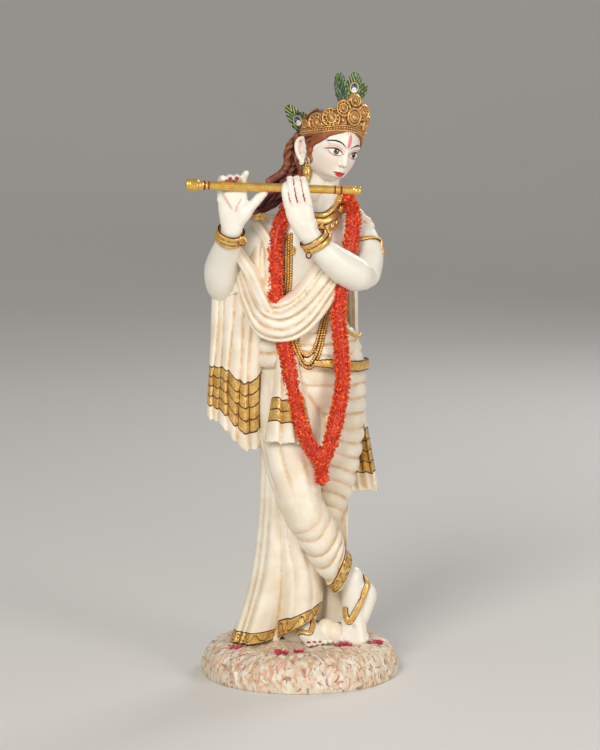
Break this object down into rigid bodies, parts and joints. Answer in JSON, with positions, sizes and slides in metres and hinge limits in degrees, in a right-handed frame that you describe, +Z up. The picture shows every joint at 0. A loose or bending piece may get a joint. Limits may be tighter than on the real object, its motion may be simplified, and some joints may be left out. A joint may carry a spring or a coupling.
{
  "type": "figurine",
  "caption": "Painted casting of a standing flute player with crossed legs, pleated robe, shawl, flower garland and feathered crown on a round mound, holding a flute.",
  "frame": {"origin": "middle of the mound's flat underside", "axes": "+Z up along the standing figure, -Y out of the front towards the viewer, +X to the viewer's right"},
  "size_m": [0.1122, 0.1081, 0.32],
  "materials": {
    "robe_ivory": "painted marble-dust casting, cream cloth with peach and ochre washes in the folds and gold borders, satin",
    "skin_ivory": "polished ivory-white marble-dust casting, soft gloss, painted details",
    "gold_paint": "antique gold paint, rubbed darker in the hollows",
    "garland_red": "orange-red paint on carved petals, lighter on the tips",
    "hair_brown": "dark reddish-brown paint with copper highlights",
    "feather_green": "green paint with gold barbs and a blue eye",
    "flute_gold": "bright gold paint with dark red rings",
    "mound_cream": "cream rough casting with peach and brown brush strokes and pink flowers"
  },
  "bodies": {
    "root": {"figure_on_mound": "robe_ivory", "flute": "flute_gold"}
  },
  "joints": []
}
